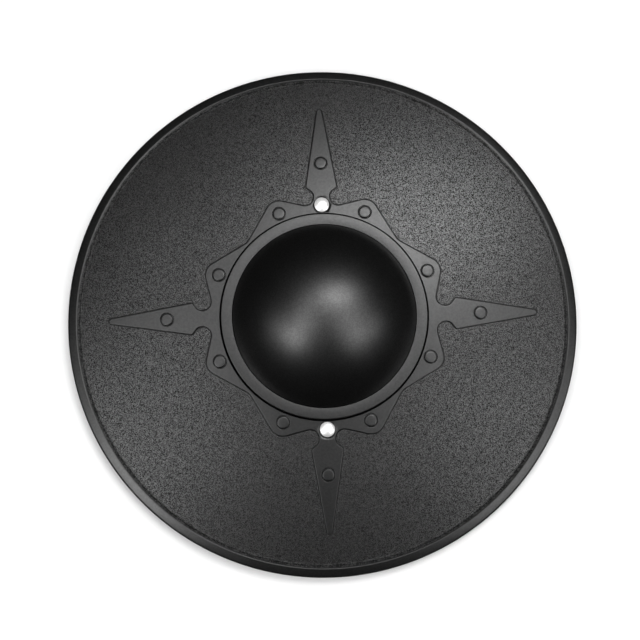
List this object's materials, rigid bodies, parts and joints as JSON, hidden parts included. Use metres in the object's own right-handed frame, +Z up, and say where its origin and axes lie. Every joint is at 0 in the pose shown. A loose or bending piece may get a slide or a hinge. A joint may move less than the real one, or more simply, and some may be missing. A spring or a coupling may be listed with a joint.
{
  "type": "targe",
  "caption": "Round dished shield moulded in black plastic, with a domed hollow boss, a flat collar, a raised star plate with spear points, and a bar grip bolted across the back of the boss.",
  "frame": {"origin": "on the surface that the shield lies on, under the middle of its rim", "axes": "+Z up through the boss towards the front of the shield, +Y along the grip towards the upper bolt, +X to the right seen from the front"},
  "size_m": [0.508, 0.508, 0.0956],
  "materials": {
    "shield_plastic": "black moulded plastic: fine leather-like grain on the field, smooth matte on plate, collar and rim, polished on the dome",
    "grip_plastic": "black moulded plastic, finely pebbled",
    "bolt_steel": "bright plated steel, polished dome",
    "plain_steel": "zinc-plated steel, lightly dulled"
  },
  "bodies": {
    "root": {"shield_body": "shield_plastic", "grip": "grip_plastic", "bolt_upper": "bolt_steel", "bolt_lower": "bolt_steel", "washer_upper": "plain_steel", "washer_lower": "plain_steel", "nut_upper": "plain_steel", "nut_lower": "plain_steel"}
  },
  "joints": []
}
